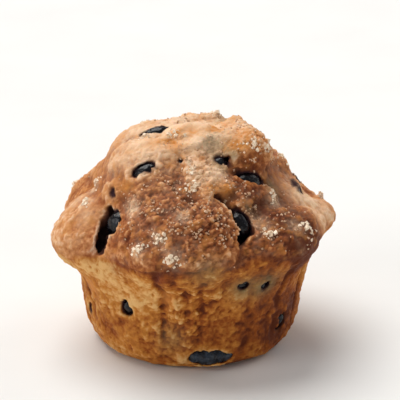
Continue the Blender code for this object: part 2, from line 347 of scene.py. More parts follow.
def store(mesh, name, values):
    attribute = mesh.attributes.new(name, "FLOAT", "POINT")
    attribute.data.foreach_set("value", values.astype(np.float32))


def face_vectors(mesh, name):
    """Each face's "center" or "normal"."""
    values = np.empty(len(mesh.polygons) * 3, np.float32)
    mesh.polygons.foreach_get(name, values)
    return values.reshape(-1, 3)


def face_values(mesh, name):
    """A stored attribute's mean over each face of a mesh of quads."""
    values = np.empty(len(mesh.vertices), np.float32)
    mesh.attributes[name].data.foreach_get("value", values)
    corners = np.empty(len(mesh.loops), np.int32)
    mesh.loops.foreach_get("vertex_index", corners)
    return values[corners].reshape(-1, 4).mean(axis=1)


def subdivide(piece, levels):
    modifier = piece.modifiers.new("round", "SUBSURF")
    modifier.levels = modifier.render_levels = levels
    apply_modifiers(piece)


def remesh(piece, size):
    modifier = piece.modifiers.new("even", "REMESH")
    modifier.mode = "VOXEL"
    modifier.voxel_size = size
    apply_modifiers(piece)


# The crumb: the CAD's baked body with its cracks torn open and its surface baked on.


def place_on(surface, bearing, rise):
    """The point of the surface at that bearing and rise, and the way straight out of it."""
    way = direction(bearing, rise)
    point, out, _, _ = surface.ray_cast(HEART + way * OUTSIDE, -way)
    return point, out


def tangents_at(bearing, rise, turn):
    """The ways along and across a lobe's length, level with the crust."""
    right = direction(bearing + 90.0, 0.0)
    upward = direction(bearing, rise + 90.0)
    turn = math.radians(turn)
    return math.cos(turn) * right + math.sin(turn) * upward, math.cos(turn) * upward - math.sin(turn) * right


def pad_on(surface, lobe, thickness):
    """A rounded pad wrapped over the surface: what a lobe adds to the crumb."""
    shape = bmesh.new()
    bmesh.ops.create_icosphere(shape, subdivisions=4, radius=1.0)
    along, across = tangents_at(lobe.bearing, lobe.rise, lobe.turn)
    middle, _ = place_on(surface, lobe.bearing, lobe.rise)
    power = LOBE_SQUARENESS
    for corner in shape.verts:
        x, y, z = corner.co
        fill = (math.hypot(x, y) ** power + abs(z) ** power) ** (-1.0 / power)
        spot = middle + (along * x * lobe.half_length + across * y * lobe.half_width) * fill * MM
        way = (spot - HEART).normalized()
        skin = surface.ray_cast(HEART + way * OUTSIDE, -way)[0]
        corner.co = skin + way * (lobe.proud + (z * fill - 1.0) * thickness / 2) * MM
    pad = object_from(shape, "pad")
    roughen(pad, *PAD_WAVES, offset=lobe.bearing)
    roughen(pad, *PAD_GRAIN, offset=lobe.rise)
    return pad


def tube_along(crack, surface, top, lean):
    """A tube along a crack, its top this many radii above the surface, moved by a share of the lean."""
    path = bpy.data.curves.new("tear", "CURVE")
    path.dimensions = "3D"
    path.bevel_depth = 1.0
    path.bevel_resolution = TEAR_SIDES
    path.use_fill_caps = True
    path.resolution_u = TEAR_STEPS
    spline = path.splines.new("BEZIER")
    spline.bezier_points.add(len(crack.stations) - 1)
    for point, (bearing, rise, radius) in zip(spline.bezier_points, crack.stations):
        place, out = place_on(surface, bearing + lean * crack.lean[0], rise + lean * crack.lean[1])
        point.co = place - out * (1.0 - top) * radius * MM
        point.radius = radius * MM
        point.handle_left_type = point.handle_right_type = "AUTO"
    tube = link(bpy.data.objects.new("tear", path))
    shape = joined_shape(final_mesh(tube))
    bpy.data.objects.remove(tube)
    bmesh.ops.recalc_face_normals(shape, faces=shape.faces)
    tear = object_from(shape, f"tear_{crack.name}")
    roughen(tear, *TEAR_WAVES, offset=top)
    roughen(tear, *TEAR_GRAIN, offset=top)
    return tear


def roughen(piece, size, amount, offset=0.0):
    """Moves the piece's corners in and out by up to about `amount` mm, in patches of `size`."""
    points = corners_of(piece.data)
    shift = noise_at(points, size, 2, offset) * amount * MM
    move_corners(piece.data, points + normals_of(piece.data) * shift[:, None])


def outward_at(point):
    """The way straight out of the muffin near a point inside its skin."""
    way = point - np.array([0.0, 0.0, min(max(point[2], LOW_HEART), HEART.z)])
    return way / np.linalg.norm(way)


def seated(node, name):
    """A copy of a berry or a clump of sugar, as deep in the crumb as it is seen."""
    piece = node_copy(node, name)
    points = corners_of(piece.data)
    middle = points.mean(axis=0)
    if node.startswith("blueberry") and node not in PROUD_BERRIES:
        crown = crown_share(middle[None])[0]
        points -= outward_at(middle) * (crown * BERRY_SUNK_CROWN + (1.0 - crown) * BERRY_SUNK_WALL) * MM
        move_corners(piece.data, points)
    return piece


def grown_node(node, amount):
    """A copy of a berry or a clump that is larger by `amount` mm all round."""
    grown = seated(node, f"grown_{node}")
    points = corners_of(grown.data)
    move_corners(grown.data, points + normals_of(grown.data) * amount * MM)
    return grown


# The berry at the foot of the wall was pressed flat by the cup, so all of it shows.
BASE_BERRY = "blueberry_base_front"
PROUD_BERRIES = (BASE_BERRY, "blueberry_summit_left")
# How much of a berry's length and width its torn mouth leaves open.
MOUTH = (0.9, 0.6)
WIDE_MOUTHS = {
    BASE_BERRY: (0.97, 0.85),
    "blueberry_rim_front_left": (0.9, 0.85),
    "blueberry_crack_front": (1.0, 0.9),
    "blueberry_wall_front_left": (1.1, 0.95),
    "blueberry_wall_front_right": (0.75, 0.6),
    "blueberry_wall_right_high": (0.75, 0.5),
    "blueberry_wall_right_low": (1.2, 1.1),
    "blueberry_crown_right": (0.5, 0.35),
    "blueberry_crown_right_small": (0.5, 0.4),
    "blueberry_crown_left_small": (0.7, 0.6),
    "blueberry_crown_back_left": (0.75, 0.45),
    "blueberry_rim_left": (0.95, 0.75),
    "blueberry_crown_left": (0.65, 0.7),
    "blueberry_rim_back": (0.8, 0.45),
    "blueberry_crown_back_right": (1.0, 0.8),
    "blueberry_summit_left": (1.0, 0.9),
}


def berry_mouth(node):
    """A rough-edged hollow from a berry out through the crust above it."""
    mouth = seated(node, f"mouth_{node}")
    subdivide(mouth, MOUTH_ROUNDNESS)
    points = corners_of(mouth.data)
    middle = points.mean(axis=0)
    out = outward_at(middle)
    away = points - middle
    height = away @ out
    flat = away - height[:, None] * out
    axes = np.linalg.eigh(flat.T @ flat)[1]
    long_way, short_way = axes[:, 2], axes[:, 1]
    long_share, short_share = WIDE_MOUTHS.get(node, MOUTH)
    along = (flat @ long_way * long_share)[:, None] * long_way
    across = (flat @ short_way * short_share)[:, None] * short_way
    upward = (height * MOUTH_TALLER + MOUTH_OUT)[:, None] * out
    move_corners(mouth.data, middle + (along + across) + upward)
    roughen(mouth, *MOUTH_WAVES, offset=float(middle.sum()) / MM)
    roughen(mouth, *MOUTH_GRAIN)
    return mouth


def join_into(piece, others):
    with bpy.context.temp_override(active_object=piece, selected_editable_objects=[piece, *others]):
        bpy.ops.object.join()


def cut_away(piece, cutter):
    cut = piece.modifiers.new("cut", "BOOLEAN")
    cut.operation = "DIFFERENCE"
    cut.solver = "MANIFOLD"
    cut.object = cutter
    apply_modifiers(piece)
    bpy.data.objects.remove(cutter)


def skin_of(piece):
    return BVHTree.FromObject(piece, bpy.context.evaluated_depsgraph_get())


def risen_crumb():
    """The CAD's body with its pockets closed and the crown's lobes and lumps risen on it."""
    crumb = node_copy("muffin_body", "baked_crumb")
    plain = skin_of(crumb)
    pads = [pad_on(plain, lobe, LOBE_THICKNESS) for lobe in LOBES]
    for i, (bearing, rise, half_width, proud) in enumerate(LUMPS):
        lump = Lobe(bearing, rise, LUMP_TURN * i, LUMP_LENGTH * half_width, half_width, proud)
        pads.append(pad_on(plain, lump, LUMP_THICKNESS * half_width))
    fillers = [grown_node(node, CRUST_OVER_BERRY) for node in berry_nodes()]
    fillers += [grown_node(node, CRUST_OVER_SUGAR) for node in sugar_nodes()]
    points = corners_of(crumb.data)
    points -= normals_of(crumb.data) * (CREASE_DEPTH * crown_share(points) * MM)[:, None]
    move_corners(crumb.data, points)
    join_into(crumb, fillers + pads)
    remesh(crumb, ROUGH_VOXEL)
    mesh = crumb.data
    points = smoothed(mesh, corners_of(mesh), ROUGH_SMOOTHING)
    move_corners(mesh, points)
    crown = crown_share(points)
    relief = crown * crust_relief(points) + (1.0 - crown) * wall_relief(points) + crust_ledge(points)
    relief += spots_at(points, SWELLS)
    move_corners(mesh, points + normals_of(mesh) * (relief * above_base(points) * MM)[:, None])
    return crumb


def tear_open(crumb, surface):
    """Tears the cracks and the berries' mouths into the crumb. Gives its corners, and how torn each is."""
    tears = [
        tube_along(crack, surface, top, lean)
        for crack in CRACKS
        for top, lean in ((TEAR_TOP, 0), (TEAR_DEEP, 1))
    ]
    hollows = tears + [berry_mouth(node) for node in berry_nodes()]
    torn_skins = [skin_in_sphere(piece) for piece in hollows if BASE_BERRY not in piece.name]
    for hollow in hollows:
        cut_away(crumb, hollow)
    remesh(crumb, VOXEL)
    points = smoothed(crumb.data, corners_of(crumb.data), FINE_SMOOTHING)
    move_corners(crumb.data, points)
    return points, nearness(points, torn_skins, TORN_FROM, TORN_TO)


def store_looks(mesh, points, torn, depth):
    """Stores at each corner what the crumb's material reads there."""
    mottles = smooth_step(noise_layer(points, MOTTLES), MOTTLE_FROM, MOTTLE_TO) * crown_share(points)
    # How far each corner stands out of its neighbourhood, for painted shade in hollows and paler paint on
    # what stands out.
    near = smoothed(mesh, points, GRANULE_ROUNDS)
    raised = points - near + BROAD_RAISED * (near - smoothed(mesh, near, MOUND_ROUNDS))
    store(mesh, "crown", crown_share(points))
    # How brown the crumb is baked, with the shade painted on it.
    store(mesh, "bake", bake_and_shade_tone(points))
    store(mesh, "grain", graininess(points))
    store(mesh, "olive", limited(spots_at(points, OLIVE)))
    store(mesh, "amber", limited(spots_at(points, AMBER) + MOTTLING * mottles))
    store(mesh, "stained", limited(spots_at(points, STAINED)))
    store(mesh, "torn", torn * smooth_step(depth, TORN_BELOW, TORN_WHOLLY_BELOW))
    store(mesh, "depth", depth)
    store(mesh, "juice", juice_stain(points))
    store(mesh, "melt", sugar_melt(points))
    store(mesh, "raised", np.einsum("ij,ij->i", raised, normals_of(mesh)) / MM)


def build_crumb():
    crumb = risen_crumb()
    surface = skin_of(crumb)
    points, torn = tear_open(crumb, surface)
    mesh = crumb.data
    relief = (1.0 - torn) * fine_relief(points) + torn * noise_layer(points, TORN_GRAIN)
    points += normals_of(mesh) * (relief * above_base(points) * MM)[:, None]
    points[:, 2] = np.maximum(points[:, 2], 0.0)
    move_corners(mesh, points)
    mesh.shade_smooth()
    store_looks(mesh, points, torn, depth_under(points, surface, torn))
    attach(crumb, "root")
    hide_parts("muffin_body")
    return crumb


def skin_in_sphere(piece):
    """The piece's skin, with the middle and the radius of a sphere that it lies in."""
    points = corners_of(piece.data)
    middle = points.mean(axis=0)
    return skin_of(piece), middle, np.linalg.norm(points - middle, axis=1).max()


def nearness(points, skins, start, end):
    """1 within `start` mm of any of the skins, down to 0 at `end` mm."""
    near = np.zeros(len(points))
    for skin, middle, radius in skins:
        for i in np.flatnonzero(np.linalg.norm(points - middle, axis=1) < radius + end * MM):
            away = skin.find_nearest(Vector(points[i]))[3] / MM
            near[i] = max(near[i], 1.0 - smooth_step(away, start, end))
    return near


def depth_under(points, surface, torn):
    """How far each torn place lies from the crust as it was before it tore, in mm."""
    depth = np.zeros(len(points))
    for i in np.flatnonzero(torn):
        depth[i] = surface.find_nearest(Vector(points[i]))[3] / MM
    return depth


def above_base(points):
    """0 on the flat base, 1 a little above it."""
    return smooth_step(points[:, 2], BASE_FLAT, BASE_WHOLE)


def noise_layer(points, layer):
    return layer.amount * noise_at(points, layer.size * MM, layer.octaves, layer.offset)


def lump_layer(points, layer, share=1.0):
    return layer.height * share * (lumps_at(points, layer.size * MM, layer.offset) - layer.buried)


def crust_edge(points):
    """How far a place is above the ragged line where the crown's crust ends, in mm."""
    tilted = (points[:, 2] - EDGE_RISE * points[:, 0] + EDGE_FALL * points[:, 1]) / MM
    ragged = noise_layer(points, EDGE_WAVES) + noise_layer(points, EDGE_RAGS)
    return tilted - EDGE_HEIGHT + ragged


def crown_share(points):
    """1 on the crown's crust, 0 on the wall that the cup moulded."""
    return smooth_step(crust_edge(points), *EDGE_BLEND)


def crust_ledge(points):
    """The crust's lower edge, which stands out over the wall, in mm."""
    above = crust_edge(points)
    return LEDGE_DEPTH * smooth_step(above, *LEDGE_START) * (1.0 - smooth_step(above, *LEDGE_END))


def crust_relief(points):
    """How far the crust stands out or in, in mm."""
    return lump_layer(points, CRUST_LUMPS) + lump_layer(points, CRUST_KNOTS, graininess(points))


def fine_relief(points):
    """Granules and pits of 1 to 2 mm, in mm."""
    crown = crown_share(points)
    granules = lump_layer(points, CRUST_GRANULES, graininess(points)) + noise_layer(points, CRUST_GRAIN)
    pores = PORE_DEPTH * smooth_step(noise_layer(points, WALL_PORES), PORE_FROM, PORE_TO)
    mounds = LEAST_CELLS + limited(spots_at(points, MOUNDED))
    cells = lump_layer(points, WALL_CELLS, mounds) + noise_layer(points, WALL_GRAIN)
    wall = cells - pores - PLEAT_CREASE * pleats_at(points)
    return crown * granules + (1.0 - crown) * wall


# Where the wall is pleated by the cup: a bearing, and the heights in mm between which the pleat is sharp.
PLEATS = (
    (-36, 24, 36), (-16, 14, 38), (-8, 29, 36), (3, 24, 36), (27, 8, 30), (47, 12, 36), (68, 6, 30),
    (93, 16, 38), (118, 8, 26), (141, 18, 38), (163, 10, 30), (-172, 14, 36), (-150, 6, 26),
    (-121, 18, 38), (-96, 8, 30), (-66, 14, 34),
)
PLEAT_DEPTH, PLEAT_CREASE = 1.3, 0.4  # mm: of the pleat, and of the crease at its bottom
PLEAT_WIDTH = 1.6  # degrees
PLEAT_FOOT, PLEAT_HEAD = (-5.0, 2.0), (-2.0, 4.0)  # mm from a pleat's two ends, where it sets in and fades
PLEAT_WAVER = Noise(10, 3.2, 2, 31.0)  # its amount is in degrees
PLEAT_PATCHES, PLEAT_LEAST = Noise(7, 1.0, 1, 33.0), 0.25  # where a pleat is deep, and its least share
PATCH_BLEND = (-0.35, 0.35)


def pleats_at(points):
    """How deep the wall's pleats are, from 0 to 1."""
    bearings = np.degrees(np.arctan2(points[:, 0], -points[:, 1]))
    bearings += noise_layer(points, PLEAT_WAVER)
    deep = smooth_step(noise_layer(points, PLEAT_PATCHES), *PATCH_BLEND)
    heights = points[:, 2] / MM
    depth = np.zeros(len(points))
    for bearing, low, high in PLEATS:
        away = (bearings - bearing + 180.0) % 360.0 - 180.0
        along = smooth_step(heights - low, *PLEAT_FOOT) * (1.0 - smooth_step(heights - high, *PLEAT_HEAD))
        depth = np.maximum(depth, along * np.exp(-((away / PLEAT_WIDTH) ** 2)))
    return depth * (PLEAT_LEAST + (1.0 - PLEAT_LEAST) * deep)


def wall_relief(points):
    """How far the wall stands out or in, in mm: soft mounds, crumb cells and the cup's pleats."""
    mounds = LEAST_MOUNDS + MOUNDS_HIGHER * limited(spots_at(points, MOUNDED))
    rounded = noise_layer(points, WALL_WAVES) + lump_layer(points, WALL_LUMPS, mounds)
    return rounded - PLEAT_DEPTH * pleats_at(points)


# Where the wall is knobbly with mounds of crumb.
MOUNDED = (
    (0, -16, 16, 0.9), (-12, -34, 12, 0.6), (-52, -18, 8, 0.4), (120, -20, 22, 0.6),
    (-140, -22, 24, 0.6),
)

# Where the crust is granular with sugar and crumbs.
GRAINY = (
    (-24, 26, 22, 0.6), (10, 20, 18, 0.7), (42, 20, 20, 0.6), (8, 47, 18, 0.6), (60, 62, 13, 1.0),
    (-20, 68, 16, 0.3), (140, 30, 26, 0.6), (-170, 34, 26, 0.6), (-130, 25, 20, 0.4),
    (110, 50, 18, 0.4), (180, 66, 18, 0.2),
)

# Where juice ran out of a torn berry and dried red.
STAINED = (
    (-50, 15, 4, 0.9), (-49, 4, 5, 0.6), (-35, 0, 5, 0.5), (-14, -2, 3, 0.5), (52, 38, 4, 0.5),
    (152, 38, 6, 0.7), (-124, 12, 6, 0.7), (98, 18, 5, 0.6),
)

# Where a berry under the crust tinged it a greenish grey. The spot at bearing 56, rise 34 is painted shade
# under the knob, tinged greenish.
OLIVE = (
    (24, 72, 5, 1.0), (45, 75, 4, 0.9), (26, 64, 6, 1.0), (33, 57, 4, 0.9), (22, 53, 5, 0.7),
    (56, 34, 6, 0.9), (30, 27, 4, 0.5), (5, 3, 7, 0.6), (-12, -35, 6, 0.5), (34, -10, 7, 1.0),
    (22, -9, 6, 0.8), (150, 60, 6, 0.6), (-120, 44, 6, 0.6), (-166, -12, 8, 0.5),
)

# Where the batter browned to amber.
AMBER = (
    (64, 78, 5, 0.9), (40, 60, 4, 0.7), (58, 62, 8, 0.5), (11, 40, 4, 0.8), (20, 39, 4, 0.7),
    (-22, 63, 5, 0.8), (-44, 62, 5, 0.7), (-48, 36, 4, 0.7), (-34, 73, 5, 0.8), (128, 66, 7, 0.7),
    (-10, 80, 5, 0.6), (-172, 44, 7, 0.7), (-110, 44, 6, 0.6), (-59, -17, 7, 0.9), (-13, -14, 4, 0.6),
)

# How brown the crumb is baked, and painted shade: spots that are browner, or paler where their amount is
# negative. The brown spots on the right lobe, low on the right of the wall and under the right rim are partly
# painted shade.
BAKED_AND_SHADED = (
    (-10, 84, 24, -0.65), (180, 74, 16, -0.4), (8, 48, 9, -0.35), (-72, 42, 24, 0.12),
    (-74, 12, 26, -0.10), (-45, 56, 18, -0.10), (-14, 20, 26, 0.36), (12, 12, 12, 0.1),
    (19, 31, 5, -0.2), (33, 36, 13, 0.36), (44, 14, 20, 0.5), (52, 3, 13, 0.6), (45, 48, 8, 0.5),
    (74, 17, 13, -0.45), (82, 38, 18, 0.15), (140, 30, 22, 0.15), (-160, 24, 20, 0.12),
    (-130, 50, 16, -0.15), (-42, -10, 12, -0.42), (-24, -13, 9, -0.22), (41, -3, 6, -0.22),
    (64, -10, 9, -0.2), (-57, -17, 6, 0.2), (-14, -1, 5, 0.3), (5, -32, 9, 0.15), (52, -34, 24, 0.40),
    (57, -38, 11, 0.25), (88, 2, 8, 0.3), (100, -12, 14, -0.2), (170, -14, 16, -0.2),
    (-125, -16, 14, -0.2),
)


def spots_at(points, spots):
    """The sum of the spots' effects at each point."""
    ways = points - np.array(HEART)
    ways /= np.linalg.norm(ways, axis=1)[:, None]
    total = np.zeros(len(points))
    for bearing, rise, radius, amount in spots:
        middle = np.array(direction(bearing, rise))
        angles = np.degrees(np.arccos(np.clip(ways @ middle, -1.0, 1.0)))
        total += amount * np.exp(-((angles / radius) ** 2))
    return total


def graininess(points):
    """How granular the crust is with sugar and crumbs, from 0 to 1."""
    return limited(LEAST_GRAIN + spots_at(points, GRAINY))


def bake_and_shade_tone(points):
    """How brown the crumb is baked, with painted shade at the wall's foot, along the crust's edge and on the
    right side, from about 0 to 1.
    """
    # Darker towards the foot: partly baked browner, partly painted shade.
    foot = FOOT_BAKE_AND_SHADE * (1.0 - smooth_step(points[:, 2], 0.0, FOOT_BAKE_AND_SHADE_TO))
    # Painted shade along the crust's lower edge, under its ledge.
    brim = BRIM_SHADE * np.exp(-(((crust_edge(points) - BRIM_AT) / BRIM_WIDTH) ** 2))
    strength = WALL_BLOTCHES + (CRUST_BLOTCHES - WALL_BLOTCHES) * crown_share(points)
    return 0.5 + foot + brim + strength * noise_layer(points, BLOTCHES) + spots_at(points, BAKED_AND_SHADED)


def berry_nodes():
    return [name for name in sorted(frame["nodes"]) if name.startswith("blueberry")]


def sugar_nodes():
    return [name for name in sorted(frame["nodes"]) if name.startswith("sugar_clump")]


def middle_of(node):
    low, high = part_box(node)
    return (low + high) / 2


def juice_stain(points):
    """1 where a berry's juice soaked the crumb."""
    stain = np.zeros(len(points))
    for node in berry_nodes():
        if node == BASE_BERRY:
            continue
        berry = seated(node, "stained")
        stain = np.maximum(stain, nearness(points, [skin_in_sphere(berry)], STAIN_FROM, STAIN_TO))
        bpy.data.objects.remove(berry)
    return stain


# Where sugar melted into pale blots.
GLAZED = (
    (-81, 26, 4, 0.8), (-79, 16, 4, 0.8), (-68, 20, 3, 0.9), (-61, 15, 3, 0.7), (-55, 50, 7, 0.6),
    (-71, 43, 6, 0.7), (-37, 28, 4, 0.8), (-33, 25, 3, 0.8), (-41, 57, 5, 0.6), (-34, 73, 5, 0.8),
    (-70, 74, 5, 0.7), (-15, 16, 3, 0.6), (-23, 10, 3, 0.6), (-6, 26, 3, 0.8), (-8, 10, 4, 0.4),
    (77, 20, 11, 1.0), (180, 78, 14, 0.9), (32, 20, 4, 0.7), (50, 28, 4, 0.8), (47, 15, 3, 0.7),
    (45, 49, 9, -0.9), (60, 64, 10, -0.3), (-20, 80, 20, 1.0), (-70, 60, 6, 0.8), (17, 46, 5, 0.9),
    (8, 47, 5, 0.9), (-95, 52, 8, 0.5), (110, 24, 6, 0.6), (140, 44, 7, 0.6), (172, 30, 6, 0.6),
    (-150, 30, 7, 0.6), (-120, 16, 6, 0.6), (-165, 56, 8, 0.6), (150, 14, 5, 0.6), (-105, 66, 7, 0.6),
)


def sugar_melt(points):
    """1 where strewn sugar melted into a pale glaze."""
    melted = MELT_ON_TOP * smooth_step(points[:, 2], MELT_FROM, MELT_TO)
    melted += MELT_IN_PATCHES * limited(noise_layer(points, MELT_PATCHES))
    return limited(melted + spots_at(points, GLAZED)) * crown_share(points)


# Materials

# Colour ramps, each a list of a position and a colour. The crust's and the wall's go from pale to dark baked.
CRUST_COLOURS = (
    (0.0, (0.80, 0.54, 0.35)),
    (0.3, (0.58, 0.26, 0.10)),
    (0.6, (0.31, 0.092, 0.026)),
    (1.0, (0.12, 0.028, 0.009)),
)
WALL_COLOURS = (
    (0.1, (0.70, 0.41, 0.155)),
    (0.4, (0.50, 0.19, 0.032)),
    (0.7, (0.28, 0.071, 0.010)),
    (1.0, (0.11, 0.024, 0.007)),
)
# The inside of a crack, from its rim down: brown crumb, then painted shade that darkens with depth.
TORN_SHADE_COLOURS = (
    (0.15, (0.24, 0.085, 0.035)),
    (0.45, (0.085, 0.028, 0.016)),
    (0.9, (0.020, 0.008, 0.007)),
)
# What makes the crumb browner, as shares of the way from pale to dark. The share for how far the crumb stands
# out is painted shade: darker in hollows, paler on what stands out.
BROAD_BAKE, FINE_BAKE, GRANULE_BAKE, HOLLOW_SHADE, EVEN_BAKE = 0.4, 0.5, 0.34, -0.65, -0.45
BROAD_SIZE, FINE_SIZE, GRANULE_SIZE, GRIT_SIZE = 5 * MM, 1.1 * MM, 1.3 * MM, 0.5 * MM
OLIVE_TINT = (0.17, 0.14, 0.07, 1.0)
STAIN_TINT = (0.16, 0.030, 0.018, 1.0)
GLAZE_TINT = (0.84, 0.59, 0.39, 1.0)
AMBER_TINT = (0.62, 0.25, 0.06, 1.0)
JUICE_TINT = (0.030, 0.010, 0.013, 1.0)
BERRY_SHADOW = (0.003, 0.002, 0.004)
DARK_SKIN, DARK_BLOOM = (0.002, 0.002, 0.004), (0.010, 0.013, 0.022)
PRESSED_SKIN, PRESSED_BLOOM = (0.022, 0.030, 0.044), (0.055, 0.075, 0.105)
STREWN_SUGAR = (0.50, 0.29, 0.16), (0.70, 0.46, 0.29)
CLUMPED_SUGAR = (0.78, 0.58, 0.40), (0.94, 0.82, 0.64)
FLOOR_TONES = (0.80, 0.80, 0.79), (0.83, 0.83, 0.82)


def new_material(name):
    material = bpy.data.materials.new(name)
    material.use_nodes = True
    tree = material.node_tree
    return material, tree, tree.nodes["Principled BSDF"]


def add_node(tree, kind, inputs=(), **settings):
    """A node with its settings, its inputs set to values or linked from sockets."""
    node = tree.nodes.new(f"ShaderNode{kind}")
    for name, value in settings.items():
        setattr(node, name, value)
    for key, value in dict(inputs).items():
        if isinstance(value, bpy.types.NodeSocket):
            tree.links.new(value, node.inputs[key])
        else:
            node.inputs[key].default_value = value
    return node


def add_ramp(tree, factor, stops):
    node = add_node(tree, "ValToRGB", {"Fac": factor})
    ramp = node.color_ramp
    while len(ramp.elements) < len(stops):
        ramp.elements.new(0.5)
    for element, (position, colour) in zip(ramp.elements, stops):
        element.position = position
        element.color = (*colour, 1.0)
    return node.outputs["Color"]


def attribute(tree, name):
    return add_node(tree, "Attribute", attribute_name=name).outputs["Fac"]


def maths(tree, operation, first, second=0.0, third=0.0, clamp=False):
    node = add_node(tree, "Math", {0: first, 1: second, 2: third}, operation=operation, use_clamp=clamp)
    return node.outputs[0]


def mixed(tree, share, first, second):
    return add_node(tree, "Mix", {0: share, 6: first, 7: second}, data_type="RGBA").outputs[2]


def speckle(tree, size, detail=3.0):
    """Noise from 0 to 1 in patches of about this size."""
    place = add_node(tree, "TexCoord").outputs["Object"]
    return add_node(tree, "TexNoise", {"Vector": place, "Scale": 1.0 / size, "Detail": detail}).outputs["Fac"]


def add_bump(tree, shader, height, strength, depth):
    """Bumps of up to `depth` mm."""
    bump = add_node(tree, "Bump", {"Height": height, "Strength": strength, "Distance": depth * MM})
    tree.links.new(bump.outputs["Normal"], shader.inputs["Normal"])


def granules(tree, size):
    """Cells of about this size: a number from 0 to 1 for each cell, and the distance from its middle."""
    place = add_node(tree, "TexCoord").outputs["Object"]
    cells = add_node(tree, "TexVoronoi", {"Vector": place, "Scale": 1.0 / size, "Randomness": 1.0})
    number = add_node(tree, "SeparateColor", {"Color": cells.outputs["Color"]}).outputs["Red"]
    return number, cells.outputs["Distance"]


def baked_colour(tree, broad, fine, granule):
    """The crust and the wall, darker where they are baked browner and carry painted shade, with painted shade
    in hollows and paler paint where they stand out.
    """
    contrast = maths(tree, "MULTIPLY", attribute(tree, "grain"), GRANULE_BAKE)
    pieces = maths(tree, "MULTIPLY", maths(tree, "SUBTRACT", granule, 0.5), contrast)
    tone = maths(tree, "MULTIPLY_ADD", broad, BROAD_BAKE, attribute(tree, "bake"))
    tone = maths(tree, "MULTIPLY_ADD", fine, FINE_BAKE, tone)
    # Painted shade in the hollows, paler where the crumb stands out.
    tone = maths(tree, "MULTIPLY_ADD", attribute(tree, "raised"), HOLLOW_SHADE, tone)
    tone = maths(tree, "ADD", maths(tree, "ADD", tone, EVEN_BAKE), pieces)
    crust, wall = add_ramp(tree, tone, CRUST_COLOURS), add_ramp(tree, tone, WALL_COLOURS)
    return mixed(tree, attribute(tree, "crown"), wall, crust)


def tinted(tree, colour, broad, fine):
    """The baked colour under its olive, stained, glazed and amber patches."""
    olive = maths(tree, "MULTIPLY", attribute(tree, "olive"), maths(tree, "ADD", broad, 0.35))
    colour = mixed(tree, olive, colour, OLIVE_TINT)
    stained = maths(tree, "MULTIPLY", attribute(tree, "stained"), maths(tree, "ADD", fine, 0.3))
    colour = mixed(tree, stained, colour, STAIN_TINT)
    thick = maths(tree, "MULTIPLY_ADD", fine, 2.0, -0.35)
    glaze = maths(tree, "MULTIPLY", attribute(tree, "melt"), thick, clamp=True)
    colour = mixed(tree, glaze, colour, GLAZE_TINT)
    amber = maths(tree, "MULTIPLY", attribute(tree, "amber"), maths(tree, "ADD", fine, 0.4), clamp=True)
    return mixed(tree, amber, colour, AMBER_TINT)


def torn_shade_colour(tree, fine):
    """The inside of a crack, with painted shade that is darker the deeper it lies."""
    depth = maths(tree, "DIVIDE", attribute(tree, "depth"), TORN_SHADE_DARKEST_AT)
    depth = maths(tree, "MULTIPLY_ADD", fine, 0.3, maths(tree, "SUBTRACT", depth, 0.15))
    return add_ramp(tree, depth, TORN_SHADE_COLOURS)


def crumb_material():
    material, tree, shader = new_material("baked crumb")
    broad, fine = speckle(tree, BROAD_SIZE), speckle(tree, FINE_SIZE)
    granule, granule_edge = granules(tree, GRANULE_SIZE)
    colour = tinted(tree, baked_colour(tree, broad, fine, granule), broad, fine)
    # Painted shade inside the cracks.
    colour = mixed(tree, attribute(tree, "torn"), colour, torn_shade_colour(tree, fine))
    colour = mixed(tree, attribute(tree, "juice"), colour, JUICE_TINT)
    tree.links.new(colour, shader.inputs["Base Color"])
    rough = maths(tree, "MULTIPLY_ADD", fine, 0.3, 0.5)
    tree.links.new(rough, shader.inputs["Roughness"])

    height = maths(tree, "MULTIPLY_ADD", speckle(tree, GRIT_SIZE, 4.0), 0.5, fine)
    rounded = maths(tree, "MULTIPLY", granule_edge, attribute(tree, "grain"))
    height = maths(tree, "MULTIPLY_ADD", rounded, -0.5, height)
    add_bump(tree, shader, height, 0.6, 0.5)
    shader.inputs["Specular IOR Level"].default_value = 0.12
    shader.inputs["Subsurface Weight"].default_value = 0.12
    shader.inputs["Subsurface Radius"].default_value = (1.0, 0.4, 0.15)
    shader.inputs["Subsurface Scale"].default_value = 1.2 * MM
    return material


def berry_material(name, skin, bloom):
    """Dark, wet skin with patches of the pale waxy bloom."""
    material, tree, shader = new_material(name)
    colour = add_ramp(tree, speckle(tree, 2.2 * MM), ((0.35, BERRY_SHADOW), (0.55, skin), (0.75, bloom)))
    tree.links.new(colour, shader.inputs["Base Color"])
    rough = maths(tree, "MULTIPLY_ADD", speckle(tree, 1.2 * MM), 0.3, 0.10)
    tree.links.new(rough, shader.inputs["Roughness"])
    add_bump(tree, shader, speckle(tree, 0.8 * MM), 0.3, 0.3)
    shader.inputs["Specular IOR Level"].default_value = 0.3
    return material


def sugar_material(name, dark, pale):
    material, tree, shader = new_material(name)
    tint = add_ramp(tree, speckle(tree, 1.6 * MM), ((0.35, dark), (0.65, pale)))
    tree.links.new(tint, shader.inputs["Base Color"])
    rough = maths(tree, "MULTIPLY_ADD", speckle(tree, 0.6 * MM), 0.4, 0.1)
    tree.links.new(rough, shader.inputs["Roughness"])
    return material


# Blueberries

DENT_SIZE, DENT_DEPTH = 2.6 * MM, 0.22  # the depths are in mm
WRINKLE_SIZE, WRINKLE_DEPTH = 1.8 * MM, 0.25
BERRY_SWELL = 0.12  # mm by which the skin is moved out again


